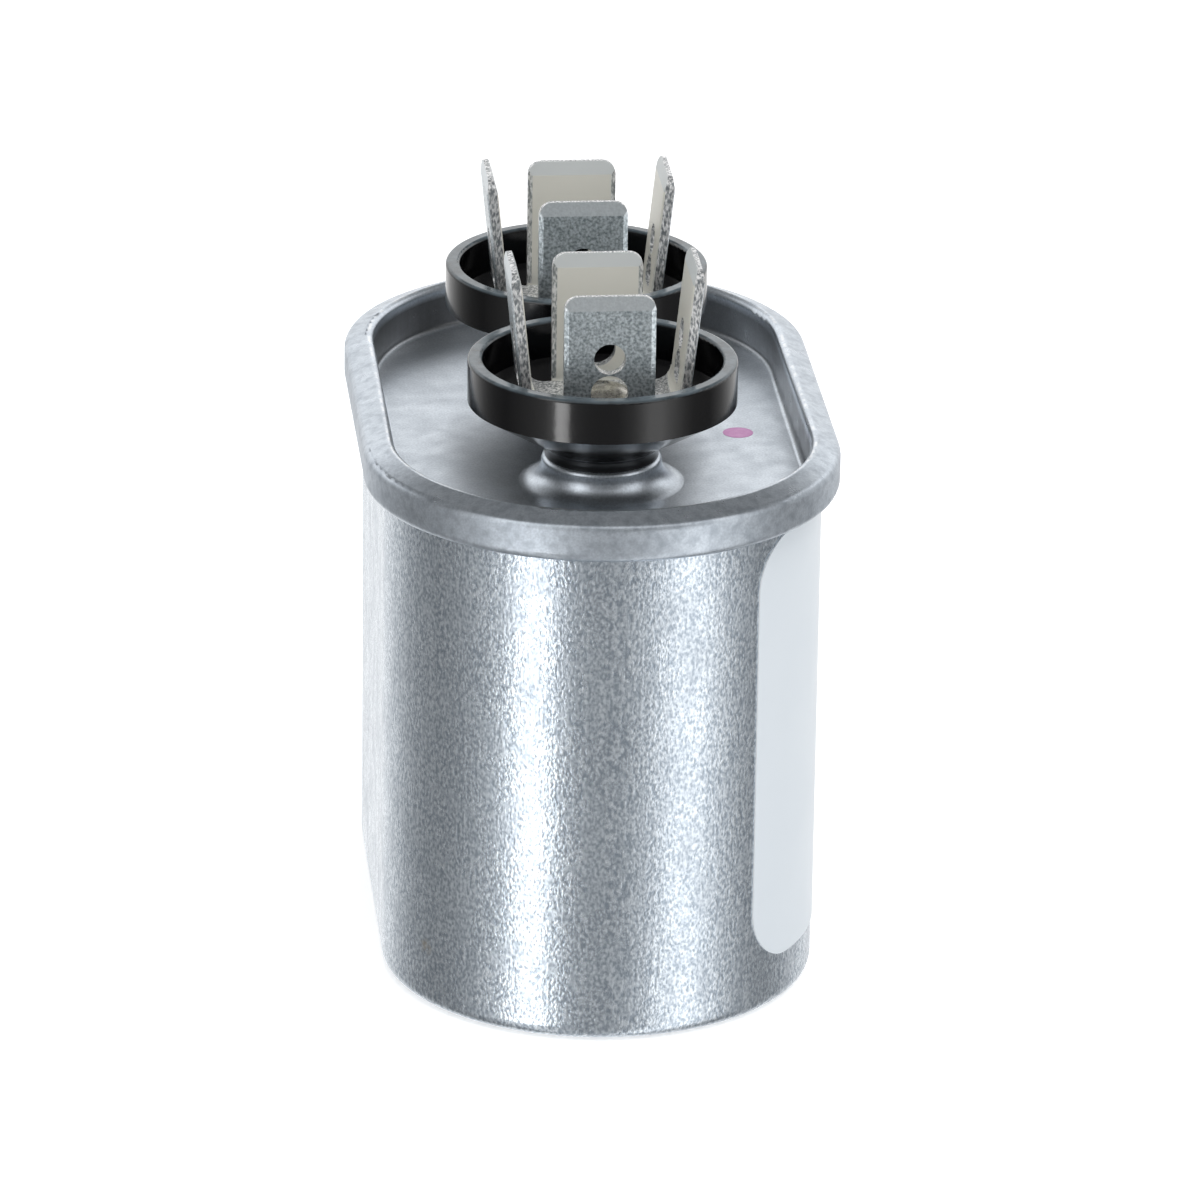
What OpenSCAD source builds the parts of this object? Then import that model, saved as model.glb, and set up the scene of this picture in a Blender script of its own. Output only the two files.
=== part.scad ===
// Oval metal-can motor run capacitor with two four-blade terminals.
// Origin: centre of the can's base. +Z up, the long side along Y, the front terminal towards -Y.

/* [Can] */
// Outside width of the oval can
can_w = 30.6; // [28:0.1:36]
// Outside length of the oval can
can_l = 52.2; // [50:0.1:64]
// Height from the base to the top of the seam
can_h = 39.4; // [36:0.1:90]
// Thickness of the can's sheet
can_t = 0.35; // [0.3:0.01:0.45]
// Outside radius of the can's bottom corner
can_corner_r = 1; // [0.8:0.1:2]

/* [Cover and double seam] */
// Thickness of the cover's sheet
cover_t = 0.35; // [0.3:0.01:0.4]
// Height of the double seam
seam_h = 3.3; // [2.7:0.05:3.6]
// Fall of the seam's top towards the outside, in degrees
seam_slope = 22; // [0:1:25]
// Outside radius of the shoulder where the chuck wall meets the seam's top
in_shoulder_r = 0.45; // [0.41:0.01:0.6]
// Outside radius of the shoulder where the seam's top turns down
out_shoulder_r = 0.6; // [0.45:0.05:0.9]
// Room for sealing compound between the folded layers
seam_gap = 0.1; // [0.08:0.01:0.12]
// How far each hook's edge stops short of the centre of the bend that it reaches for
hook_short = 0.25; // [0.15:0.01:0.3]
// Clearance between the cover's chuck wall and the can
chuck_gap = 0.05; // [0.02:0.01:0.1]
// Depth of the cover's panel below the top of the seam
panel_depth = 3.4; // [3:0.1:4.4]
// Inside radius between the chuck wall and the panel
panel_r = 0.4; // [0.2:0.05:0.8]
// Height of the raised boss under each terminal
boss_h = 2; // [1.9:0.1:2.6]
// Radius of the boss's flat top, a little less than the neck that stands on it
boss_top_r = 3.8; // [3.75:0.01:3.85]
// Radius of the boss's top edge, from which the boss flares out to the panel
boss_edge_r = 0.42; // [0.41:0.01:0.5]
// Radius of the cover's terminal hole
cover_hole_r = 2.5; // [2.4:0.05:2.7]

/* [Terminal cups] */
// Distance between the two terminals
terminal_pitch = 20.8; // [19.6:0.1:26]
// Outside radius of the cup
cup_r = 9.42; // [9.2:0.01:9.6]
// Thickness of the cup's wall
cup_wall = 1.06; // [0.9:0.01:1.2]
// Thickness of the cup's cone, measured square to it
cone_wall = 0.9; // [0.8:0.01:1]
// Height of the cup's upright wall
cup_wall_h = 3.1; // [2.4:0.1:4]
// Radius on the cup's lip
cup_lip_r = 0.25; // [0.1:0.01:0.4]
// Rise of the cup's cone for each millimetre outwards
cone_slope = 0.594; // [0.5:0.002:0.65]
// Radius of the neck that stands on the boss
neck_r = 4; // [3.9:0.05:4.2]
// Height of the neck below the cone
neck_h = 0.78; // [0.7:0.01:1]
// Radius between the neck and the cone
neck_fillet_r = 0.8; // [0.3:0.05:1]
// Height of the cup's floor above the boss
floor_h = 2.65; // [2.5:0.01:3]
// How far the spigot reaches below the cover's sheet
spigot_h = 0.4; // [0.3:0.01:0.6]
// Clearance of the spigot in the cover
spigot_gap = 0.1; // [0.05:0.01:0.15]

/* [Blades] */
// Width of a quick-connect blade
blade_w = 6.35; // [6:0.01:6.4]
// Thickness of the strap metal
blade_t = 0.81; // [0.7:0.01:0.82]
// Radius of the blade's tip corners
tip_r = 1; // [0.6:0.05:1.4]
// Length of the coined bevel at the tip
bevel_h = 1; // [0.5:0.05:1.4]
// Depth of the coined bevel on each face
bevel_d = 0.22; // [0.1:0.01:0.28]
// Width of the coined bevel along the sides
side_bevel_w = 0.32; // [0.15:0.01:0.5]
// Depth of the coined bevel along the sides
side_bevel_d = 0.1; // [0.05:0.01:0.2]
// Distance of the lower strap's blades from the terminal's axis
lower_reach = 4.75; // [4.7:0.01:4.9]
// Height of the lower strap's tips above the cup's floor
lower_tip_h = 10.55; // [9:0.05:12]
// Inside bend radius of the lower strap
lower_bend_r = 0.6; // [0.4:0.05:0.7]
// Distance of the upper strap's blades from the terminal's axis at their bend
upper_reach = 5.5; // [5.4:0.01:5.8]
// Height of the upper strap's tips above the cup's floor
upper_tip_h = 11.55; // [10:0.05:13]
// Inside bend radius of the upper strap
upper_bend_r = 1.2; // [0.8:0.05:1.3]
// Outward lean of the upper strap's blades, in degrees
upper_lean = 6; // [0:0.5:7]
// Radius of the upper hole in each blade
detent_hole_r = 1.1; // [0.8:0.05:1.2]
// Height of the upper hole above the cup's floor
detent_hole_h = 6.05; // [6:0.05:6.4]
// Radius of the lower hole in each blade
wire_hole_r = 1.3; // [1:0.05:1.35]
// Height of the lower hole above the cup's floor
wire_hole_h = 3.55; // [3.4:0.05:3.6]

/* [Rivets and seals] */
// Radius of the rivet's shank
rivet_r = 1.6; // [1.4:0.05:1.8]
// Clearance of the rivet in its holes
rivet_gap = 0.05; // [0.02:0.01:0.1]
// Radius of the rivet's head
head_r = 2.4; // [2.2:0.05:2.7]
// Height of the rivet's head
head_h = 0.9; // [0.6:0.05:1.1]
// Radius of the rivet's clinched foot
foot_r = 2.6; // [2.3:0.05:2.9]
// Radius of the weld stud below the foot
stud_r = 1.1; // [0.9:0.05:1.3]
// Inside radius of the rubber gasket
gasket_in_r = 2.9; // [2.8:0.05:3]
// Outside radius of the rubber gasket
gasket_out_r = 3.6; // [3.5:0.05:3.7]
// Thickness of the rubber gasket
gasket_t = 0.5; // [0.4:0.05:0.6]
// Clearance of the insulating washer inside the boss
washer_gap = 0.17; // [0.05:0.01:0.4]
// Thickness of the insulating washer
washer_t = 1; // [0.9:0.05:1.2]

/* [Inside the can] */
// Thickness of the interrupter plate
plate_t = 1.6; // [1.2:0.1:2.4]
// Clearance of the interrupter plate below the cover's panel
plate_gap = 0.25; // [0.15:0.05:0.5]
// Clearance of the weld stud in the interrupter plate
stud_gap = 0.2; // [0.1:0.05:0.3]
// Thickness of the insulating sleeve
sleeve_t = 0.5; // [0.3:0.05:0.8]
// Clearance between the sleeve and the can
sleeve_gap = 0.1; // [0.05:0.01:0.2]
// Thickness of the spacer under the winding
spacer_t = 1.6; // [1.2:0.1:2.4]
// Room beside the winding for the long lead
winding_gap = 0.9; // [0.9:0.05:1.3]
// Room above the winding for the leads
headroom = 3; // [2:0.1:5]
// Thickness of the sprayed metal on each end of the winding
spray_t = 0.4; // [0.2:0.05:0.6]
// Half the thickness of the flattened winding core
core_r = 0.9; // [0.7:0.05:1.5]
// Wall thickness of the winding core
core_wall = 0.5; // [0.3:0.05:0.6]
// Width of the lead strips
lead_w = 3; // [2:0.1:4]
// Thickness of the lead strips
lead_t = 0.25; // [0.15:0.01:0.35]
// Inside bend radius of the lead strips
lead_bend_r = 0.3; // [0.2:0.05:0.5]
// How far the short lead runs from its weld stud before it turns down
lead_run = 5; // [3:0.1:6]
// Length of the long lead's foot under the winding
lead_foot_l = 6; // [3:0.1:8]
// Clearance of the long lead's foot in the spacer's groove
groove_gap = 0.22; // [0.1:0.01:0.4]

/* [Label] */
// Length of the label, laid flat
label_l = 48.4; // [30:0.1:60]
// Height of the label's lower edge above the base
label_z = 3.8; // [1.5:0.1:16]
// Bare wall between the label's upper edge and the seam
label_gap = 0.3; // [0.2:0.05:9]
// Radius of the label's corners
label_r = 4; // [1:0.1:5]
// Thickness of the label
label_t = 0.1; // [0.05:0.01:0.15]

/* [Hidden] */
$fn = 96;
front = -1;
rear = 1;
// Overlap of a cutting shape past the face that it cuts
past = 1;
// Overlap of two stretches of one piece where they join
lap = 0.02;
// How far the seam's sloping top lies under its shoulders, so that they meet it at an edge
sink = 0.002;

// The oval is two half circles about centres at y = +/-end_y, joined by straight sides. Every oval
// piece is a half section in distance from those centres and height, carried round by oval().
end_y = (can_l - can_w) / 2;
can_r = can_w / 2;
can_in_r = can_r - can_t;

// Radii of the double seam's five layers, from the inside out
chuck_out_r = can_in_r - chuck_gap;
chuck_in_r = chuck_out_r - cover_t;
cover_hook_in_r = can_r + seam_gap;
cover_hook_out_r = cover_hook_in_r + cover_t;
can_hook_in_r = cover_hook_out_r + seam_gap;
can_hook_out_r = can_hook_in_r + can_t;
seam_in_r = can_hook_out_r + seam_gap;
seam_r = seam_in_r + cover_t;

// The cover's top runs straight between its two shoulders' centres, at the seam's slope
in_shoulder_c = [chuck_in_r + in_shoulder_r, can_h - in_shoulder_r];
out_shoulder_x = seam_r - out_shoulder_r;
out_shoulder_c = [out_shoulder_x, top_z(out_shoulder_x, out_shoulder_r)];

// The can's fold and the cover's foot are half rings: their centres and outside radii
can_fold_r = (can_hook_out_r - can_in_r) / 2;
can_fold_x = (can_hook_out_r + can_in_r) / 2;
can_fold_c = [can_fold_x, top_z(can_fold_x, cover_t + seam_gap + can_fold_r)];
seam_foot_r = (seam_r - cover_hook_in_r) / 2;
seam_foot_c = [(seam_r + cover_hook_in_r) / 2, can_h - seam_h + seam_foot_r];

// Levels of the cover and of what stands on it
panel_z = can_h - panel_depth;
boss_z = panel_z + boss_h;
boss_r = boss_top_r + boss_edge_r;
boss_flare_r = boss_h - boss_edge_r;
washer_r = boss_r - cover_t - washer_gap;
cup_floor_z = boss_z + floor_h;
neck_z = boss_z + neck_h;
cone_h = (cup_r - neck_r) * cone_slope;
cup_wall_z = neck_z + cone_h;
cup_z = cup_wall_z + cup_wall_h;
cone_angle = atan(cone_slope);
cup_in_r = cup_r - cup_wall;
// The inside of the cone lies this far above the outside
inner_cone_rise = cone_wall / cos(cone_angle);
cup_floor_r = neck_r + (cup_floor_z - neck_z - inner_cone_rise) / cone_slope;
inner_cone_z = neck_z + inner_cone_rise + (cup_in_r - neck_r) * cone_slope;
spigot_r = cover_hole_r - spigot_gap;
spigot_z = boss_z - cover_t - spigot_h;
upper_strap_z = cup_floor_z + blade_t;
head_z = upper_strap_z + blade_t;
rivet_hole_r = rivet_r + rivet_gap;

// Levels inside the can
washer_z = boss_z - cover_t - washer_t;
plate_z = panel_z - cover_t - plate_gap - plate_t;
sleeve_out_r = can_in_r - sleeve_gap;
sleeve_in_r = sleeve_out_r - sleeve_t;
plate_r = (sleeve_out_r + sleeve_in_r) / 2;
spacer_z = can_t + spacer_t;
winding_r = sleeve_in_r - winding_gap;
winding_z = spacer_z + spray_t;
spray_top_z = plate_z - headroom;
winding_l = spray_top_z - spray_t - winding_z;
// The long lead runs down the middle of the room beside the winding
lead_x = winding_r + (winding_gap + lead_t) / 2;
// What a lead reaches past the weld stud's centre
lead_end = lead_w / 2;

// The label covers the wall between its two margins
label_h = can_h - seam_h - label_gap - label_z;

// Height of a point of the seam at x that lies the given depth under the slope of its top
function top_z(x, depth) = in_shoulder_c.y + (in_shoulder_r - depth) / cos(seam_slope)
  - (x - in_shoulder_c.x) * tan(seam_slope);

// Flat shapes ---------------------------------------------------------------------------------

// A quarter of a flat ring, in the corner between the two axes that the turn picks
module quarter_ring(c, r, t, turn) {
  translate(c) rotate(90 * turn) intersection() {
    difference() {
      circle(r);
      circle(r - t);
    }
    square(r);
  }
}

// A rectangle given by its two opposite corners
module block(low, high) {
  translate(low) square(high - low);
}

// The can's half section: floor, corner, wall, the fold over the top and the hook that turns down
module can_section() {
  block([0, 0], [can_r - can_corner_r, can_t]);
  quarter_ring([can_r - can_corner_r, can_corner_r], can_corner_r, can_t, 3);
  block([can_in_r, can_corner_r], [can_r, can_fold_c.y]);
  quarter_ring(can_fold_c, can_fold_r, can_t, 0);
  quarter_ring(can_fold_c, can_fold_r, can_t, 1);
  block([can_hook_in_r, seam_foot_c.y + hook_short], [can_hook_out_r, can_fold_c.y]);
}

// What lies under the seam's top at the given depth in the sheet, down to foot_z
module seam_top(depth, foot_z) {
  up = [sin(seam_slope), cos(seam_slope)];
  polygon([[chuck_in_r + depth, foot_z], [chuck_in_r + depth, in_shoulder_c.y], in_shoulder_c,
    in_shoulder_c + (in_shoulder_r - depth - sink) * up,
    out_shoulder_c + (out_shoulder_r - depth - sink) * up, out_shoulder_c,
    [seam_r - depth, out_shoulder_c.y], [seam_r - depth, foot_z]]);
  translate(in_shoulder_c) circle(in_shoulder_r - depth);
  translate(out_shoulder_c) circle(out_shoulder_r - depth);
}

// The cover's half section: panel, chuck wall, the seam's top and outer wall, its foot and its hook
module cover_section() {
  block([0, panel_z - cover_t], [chuck_in_r - panel_r, panel_z]);
  quarter_ring([chuck_in_r - panel_r, panel_z + panel_r], panel_r + cover_t, cover_t, 3);
  block([chuck_in_r, panel_z + panel_r], [chuck_out_r, in_shoulder_c.y]);
  difference() {
    seam_top(0, seam_foot_c.y);
    seam_top(cover_t, seam_foot_c.y - past);
  }
  quarter_ring(seam_foot_c, seam_foot_r, cover_t, 3);
  quarter_ring(seam_foot_c, seam_foot_r, cover_t, 2);
  block([cover_hook_in_r, seam_foot_c.y], [cover_hook_out_r, can_fold_c.y - hook_short]);
}

// The boss's half section about the terminal's axis: its flat top, its edge and the flare to the panel
module boss_section() {
  block([cover_hole_r, boss_z - cover_t], [boss_top_r, boss_z]);
  quarter_ring([boss_top_r, boss_z - boss_edge_r], boss_edge_r, cover_t, 0);
  quarter_ring([boss_r + boss_flare_r, panel_z + boss_flare_r], boss_flare_r + cover_t, cover_t, 2);
}

// The cup's half section about the terminal's axis. The outline goes by way of the fillet's centre,
// and the circle there then leaves the round between the neck and the cone
module cup_section() {
  fillet_len = neck_fillet_r * tan((90 - cone_angle) / 2);
  fillet_c = [neck_r + neck_fillet_r, neck_z - fillet_len];
  difference() {
    polygon([[rivet_hole_r, spigot_z], [spigot_r, spigot_z], [spigot_r, boss_z],
      [gasket_in_r, boss_z], [gasket_in_r, boss_z + gasket_t], [gasket_out_r, boss_z + gasket_t],
      [gasket_out_r, boss_z], [neck_r, boss_z], [neck_r, fillet_c.y], fillet_c,
      [neck_r, neck_z] + fillet_len * [cos(cone_angle), sin(cone_angle)], [cup_r, cup_wall_z],
      [cup_r, cup_z - cup_lip_r], [cup_in_r, cup_z - cup_lip_r], [cup_in_r, inner_cone_z],
      [cup_floor_r, cup_floor_z], [rivet_hole_r, cup_floor_z]]);
    translate(fillet_c) circle(neck_fillet_r);
  }
  block([cup_in_r + cup_lip_r, cup_z - cup_lip_r], [cup_r - cup_lip_r, cup_z]);
  quarter_ring([cup_r - cup_lip_r, cup_z - cup_lip_r], cup_lip_r, cup_lip_r, 0);
  quarter_ring([cup_in_r + cup_lip_r, cup_z - cup_lip_r], cup_lip_r, cup_lip_r, 1);
}

// A blade's outline, upright, with round corners at its tip
module blade_outline(h) {
  block([-blade_w / 2, -lap], [blade_w / 2, h - tip_r]);
  block([-blade_w / 2 + tip_r, h - tip_r], [blade_w / 2 - tip_r, h]);
  for (side = [-1, 1]) translate([side * (blade_w / 2 - tip_r), h - tip_r]) circle(tip_r);
}

// Solid helpers -------------------------------------------------------------------------------

// Carries a half section round the oval
module oval() {
  for (turn = [0, 180]) rotate(turn) {
    translate([0, end_y, 0]) rotate_extrude(angle = 180) children();
    rotate([90, 0, 0]) linear_extrude(2 * end_y, center = true) children();
  }
}

// An upright oval solid of the given radius between two levels
module oval_block(r, z0, z1) {
  oval() block([0, z0], [r, z1]);
}

// Sets a piece on the front or the rear terminal's axis
module on_terminal(end) {
  translate([0, end * terminal_pitch / 2, 0]) children();
}

// A strip bent up through the given angle about the origin of its bend, lying along +X
module bend(r, t, w, angle) {
  rotate([90, 0, 0]) rotate(-90) rotate_extrude(angle = angle)
    translate([r, -w / 2]) square([t, w]);
}

// The wedge that a coined bevel takes off one face, for a blade that ends at edge
module bevel_wedge(edge, len, w, d) {
  linear_extrude(len, center = true)
    polygon([[0, edge - w], [d, edge], [d, edge + past], [-past, edge + past], [-past, edge - w]]);
}

// One blade: its inner face on X = 0, with coined edges. hole_z are its two holes' heights
module blade(h, hole_z) {
  difference() {
    rotate([90, 0, 90]) linear_extrude(blade_t) blade_outline(h);
    for (face = [0, 1]) translate([face * blade_t, 0, 0]) mirror([face, 0, 0]) {
      rotate([90, 0, 0]) bevel_wedge(h, blade_w + past, bevel_h, bevel_d);
      for (side = [0, 1]) mirror([0, side, 0]) translate([0, 0, h / 2])
        bevel_wedge(blade_w / 2, h + past, side_bevel_w, side_bevel_d);
    }
    translate([-past, 0, hole_z[0]]) rotate([0, 90, 0]) cylinder(h = blade_t + 2 * past, r = detent_hole_r);
    translate([-past, 0, hole_z[1]]) rotate([0, 90, 0]) cylinder(h = blade_t + 2 * past, r = wire_hole_r);
  }
}

// A strap bent up into two blades: reach is to the blades' mid-plane, tip_h above the cup's floor
module strap(base_z, reach, bend_r, lean, tip_h) {
  mid_r = bend_r + blade_t / 2;
  bend_x = reach - mid_r * cos(lean);
  bend_z = base_z + blade_t + bend_r;
  // Distance up the blade from its bend to a height above the cup's floor
  function along(h) = (cup_floor_z + h - bend_z + mid_r * sin(lean)) / cos(lean);
  difference() {
    translate([-bend_x, -blade_w / 2, base_z]) cube([2 * bend_x, blade_w, blade_t]);
    translate([0, 0, base_z - past]) cylinder(h = blade_t + 2 * past, r = rivet_hole_r);
  }
  for (side = [0, 1]) mirror([side, 0, 0]) translate([bend_x, 0, bend_z]) {
    bend(bend_r, blade_t, blade_w, 90 - lean);
    rotate([0, lean, 0]) translate([bend_r, 0, 0])
      blade(along(tip_h), [along(detent_hole_h), along(wire_hole_h)]);
  }
}

// Sub-parts -----------------------------------------------------------------------------------

module can() {
  color("silver") oval() can_section();
}

module cover() {
  color("lightgray") {
    difference() {
      oval() cover_section();
      for (end = [front, rear]) on_terminal(end)
        translate([0, 0, panel_z - past]) cylinder(h = 2 * past, r = boss_r + boss_flare_r);
    }
    for (end = [front, rear]) on_terminal(end) rotate_extrude() boss_section();
  }
}

// Rubbery compound in the pocket between the can's fold and the edge of the cover's hook
module seam_compound() {
  color("dimgray") oval() {
    block([can_r, can_fold_c.y - hook_short], [can_hook_in_r, can_fold_c.y]);
    quarter_ring(can_fold_c, can_fold_r - can_t, can_fold_r - can_t, 0);
    quarter_ring(can_fold_c, can_fold_r - can_t, can_fold_r - can_t, 1);
  }
}

// Outline of half the label, from its end corners' centres
module label_outline() {
  translate([-label_l, 0]) square([label_l, label_h]);
  translate([0, label_r]) square([label_r, label_h - 2 * label_r]);
  for (z = [label_r, label_h - label_r]) translate([0, z]) circle(label_r);
}

// Bare label round the right side of the can
module label() {
  wrap = (label_l / 2 - end_y) / (can_r + label_t) * 180 / PI;
  corner = label_r / (can_r + label_t) * 180 / PI;
  color("aliceblue") union() for (end = [0, 1]) mirror([0, end, 0]) intersection() {
    translate([0, 0, label_z - past]) union() {
      translate([can_r, 0, 0]) cube([label_t, end_y, label_h + 2 * past]);
      translate([0, end_y, 0]) rotate_extrude(angle = wrap + corner)
        translate([can_r, 0]) square([label_t, label_h + 2 * past]);
    }
    translate([0, end_y, label_z]) rotate(wrap - corner / 2) rotate([90, 0, 90])
      linear_extrude(can_w) translate([-label_r / 2, 0]) label_outline();
  }
}

module cup() {
  color("#1a1a1c") rotate_extrude() cup_section();
}

module gasket() {
  color("#2b2b2b") translate([0, 0, boss_z]) difference() {
    cylinder(h = gasket_t, r = gasket_out_r);
    translate([0, 0, -past]) cylinder(h = gasket_t + 2 * past, r = gasket_in_r);
  }
}

// Insulating washer under the cover, counterbored for the cup's spigot
module washer() {
  color("peru") translate([0, 0, washer_z]) difference() {
    cylinder(h = washer_t, r = washer_r);
    translate([0, 0, -past]) cylinder(h = washer_t + 2 * past, r = rivet_hole_r);
    translate([0, 0, washer_t - spigot_h - spigot_gap])
      cylinder(h = spigot_h + spigot_gap + past, r = cover_hole_r);
  }
}

// Rivet with a domed head on the straps, a clinched foot under the washer and a weld stud
module rivet() {
  dome_r = (head_r * head_r + head_h * head_h) / (2 * head_h);
  plate_top_z = plate_z + plate_t;
  color("gainsboro") {
    intersection() {
      translate([0, 0, head_z]) cylinder(h = head_h, r = head_r);
      translate([0, 0, head_z + head_h - dome_r]) sphere(dome_r);
    }
    translate([0, 0, washer_z]) cylinder(h = head_z - washer_z, r = rivet_r);
    translate([0, 0, plate_top_z]) cylinder(h = washer_z - plate_top_z, r = foot_r);
    translate([0, 0, plate_z]) cylinder(h = plate_t, r = stud_r);
  }
}

module lower_strap() {
  color("lightsteelblue") rotate(90)
    strap(cup_floor_z, lower_reach, lower_bend_r, 0, lower_tip_h);
}

module upper_strap() {
  color("lightsteelblue")
    strap(upper_strap_z, upper_reach, upper_bend_r, upper_lean, upper_tip_h);
}

module front_cup() { on_terminal(front) cup(); }
module rear_cup() { on_terminal(rear) cup(); }
module front_gasket() { on_terminal(front) gasket(); }
module rear_gasket() { on_terminal(rear) gasket(); }
module front_washer() { on_terminal(front) washer(); }
module rear_washer() { on_terminal(rear) washer(); }
module front_rivet() { on_terminal(front) rivet(); }
module rear_rivet() { on_terminal(rear) rivet(); }
module front_lower_strap() { on_terminal(front) lower_strap(); }
module rear_lower_strap() { on_terminal(rear) lower_strap(); }
module front_upper_strap() { on_terminal(front) upper_strap(); }
module rear_upper_strap() { on_terminal(rear) upper_strap(); }

// Plate that holds the leads back when the cover bulges, so that the rivets' welds let go
module interrupter_plate() {
  color("saddlebrown") difference() {
    oval_block(plate_r, plate_z, plate_z + plate_t);
    for (end = [front, rear]) on_terminal(end)
      translate([0, 0, plate_z - past]) cylinder(h = plate_t + 2 * past, r = stud_r + stud_gap);
  }
}

// A lead strip's quarter bend, seen from the side: it turns from level to upright
module lead_bend() {
  bend(lead_bend_r, lead_t, lead_w, 90);
}

// Short lead: from the front weld stud, down a step, to the top of the winding
module front_lead() {
  low_z = spray_top_z;
  turn = lead_bend_r + lead_t;
  color("goldenrod") on_terminal(front) rotate(-90) {
    translate([-lead_end, -lead_w / 2, plate_z - lead_t]) cube([lead_end + lead_run, lead_w, lead_t]);
    translate([lead_run, 0, plate_z - turn]) mirror([0, 0, 1]) lead_bend();
    translate([lead_run + lead_bend_r, -lead_w / 2, low_z + turn])
      cube([lead_t, lead_w, plate_z - low_z - 2 * turn]);
    translate([lead_run + turn + lead_bend_r, 0, low_z + turn]) mirror([1, 0, 0]) lead_bend();
    translate([lead_run + turn + lead_bend_r, -lead_w / 2, low_z])
      cube([lead_end, lead_w, lead_t]);
  }
}

// Long lead: from the rear weld stud to the middle of the can, then down beside the winding
module rear_lead() {
  low_z = spacer_z - lead_t;
  turn = lead_bend_r + lead_t;
  color("goldenrod") {
    on_terminal(rear) rotate(-90) translate([-lead_end, -lead_w / 2, plate_z - lead_t])
      cube([terminal_pitch / 2 + 2 * lead_end, lead_w, lead_t]);
    rotate(180) {
      translate([0, -lead_w / 2, plate_z - lead_t]) cube([lead_x - turn, lead_w, lead_t]);
      translate([lead_x - turn, 0, plate_z - turn]) mirror([0, 0, 1]) lead_bend();
      translate([lead_x - lead_t, -lead_w / 2, low_z + turn])
        cube([lead_t, lead_w, plate_z - low_z - 2 * turn]);
      translate([lead_x - turn, 0, low_z + turn]) lead_bend();
      translate([lead_x - turn - lead_foot_l, -lead_w / 2, low_z])
        cube([lead_foot_l, lead_w, lead_t]);
    }
  }
}

module insulating_sleeve() {
  color("linen") oval() block([sleeve_in_r, spacer_z], [sleeve_out_r, plate_z]);
}

// The wound film as one solid, with the flattened core's place left open
module film_winding() {
  color("whitesmoke") difference() {
    oval_block(winding_r, winding_z, winding_z + winding_l);
    oval_block(core_r, winding_z - past, winding_z + winding_l + past);
  }
}

module winding_core() {
  color("khaki") oval() block([core_r - core_wall, winding_z], [core_r, winding_z + winding_l]);
}

// Sprayed metal on one end of the winding, open over the core
module end_spray(z) {
  difference() {
    oval_block(winding_r, z, z + spray_t);
    oval_block(core_r, z - past, z + spray_t + past);
  }
}

module upper_end_spray() { color("darkgray") end_spray(spray_top_z - spray_t); }
module lower_end_spray() { color("darkgray") end_spray(spacer_z); }

// Spacer on the can's floor, with its lower edge rounded to clear the corner and a groove for the lead
module bottom_spacer() {
  round_r = can_corner_r - can_t;
  groove_in_x = lead_x - lead_bend_r - lead_t - lead_foot_l - groove_gap;
  groove_out_x = lead_x + groove_gap;
  color("wheat") difference() {
    oval() {
      block([0, can_t], [sleeve_out_r - round_r, can_t + round_r]);
      quarter_ring([sleeve_out_r - round_r, can_t + round_r], round_r, round_r, 3);
      block([0, can_t + round_r], [sleeve_out_r, spacer_z]);
    }
    rotate(180) translate([groove_in_x, -lead_w / 2 - groove_gap, spacer_z - lead_t])
      cube([groove_out_x - groove_in_x, lead_w + 2 * groove_gap, lead_t + past]);
  }
}

can();
cover();
seam_compound();
label();
front_cup();
rear_cup();
front_gasket();
rear_gasket();
front_washer();
rear_washer();
front_rivet();
rear_rivet();
front_lower_strap();
rear_lower_strap();
front_upper_strap();
rear_upper_strap();
interrupter_plate();
front_lead();
rear_lead();
insulating_sleeve();
film_winding();
winding_core();
upper_end_spray();
lower_end_spray();
bottom_spacer();
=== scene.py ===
"""Looks of a motor run capacitor: an oval aluminium can with two four-blade terminals.

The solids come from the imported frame. This file gives each of them its finish, adds the inspector's
ink dot on the cover, and sets the floor, the lamps and the camera. Lengths are in metres.
"""

import math

import bmesh
import bpy
from mathutils import Matrix, Vector


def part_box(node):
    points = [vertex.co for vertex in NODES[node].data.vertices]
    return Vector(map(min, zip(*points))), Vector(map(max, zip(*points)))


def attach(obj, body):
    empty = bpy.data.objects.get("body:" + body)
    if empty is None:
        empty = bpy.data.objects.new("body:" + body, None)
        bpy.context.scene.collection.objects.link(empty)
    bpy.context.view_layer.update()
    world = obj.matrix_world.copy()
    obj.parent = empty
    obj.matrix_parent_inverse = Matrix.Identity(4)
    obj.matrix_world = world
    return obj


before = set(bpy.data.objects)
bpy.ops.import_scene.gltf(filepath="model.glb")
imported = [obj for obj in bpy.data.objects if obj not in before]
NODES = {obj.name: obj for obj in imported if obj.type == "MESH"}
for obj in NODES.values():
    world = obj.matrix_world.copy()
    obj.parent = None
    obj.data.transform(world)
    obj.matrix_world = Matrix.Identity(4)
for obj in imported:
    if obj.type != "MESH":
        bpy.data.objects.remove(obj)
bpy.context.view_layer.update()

MM = 0.001

bl_info = {
    "name": "Motor Run Capacitor",
    "version": (1, 0, 0),
    "blender": (4, 5, 0),
    "location": "3D View > Sidebar > Capacitor",
    "description": "Finishes, ink dot, lamps and camera of an oval motor run capacitor",
    "category": "Object",
}

# Places that the finishes are measured from: the can is two half circles joined by straight sides
LABEL_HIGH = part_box("label")[1]
COVER_LOW, SEAM_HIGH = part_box("cover")
END_Y = SEAM_HIGH.y - SEAM_HIGH.x
CUP_LOW, CUP_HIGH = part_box("front_cup")
TERMINAL_Y = -(CUP_LOW.y + CUP_HIGH.y) / 2
# Where the panel ends and the seam's inner shoulder starts, out from the oval's middle line
PANEL_R = SEAM_HIGH.x - 2.6 * MM
SHOULDER_R = SEAM_HIGH.x - 1.9 * MM


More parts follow.
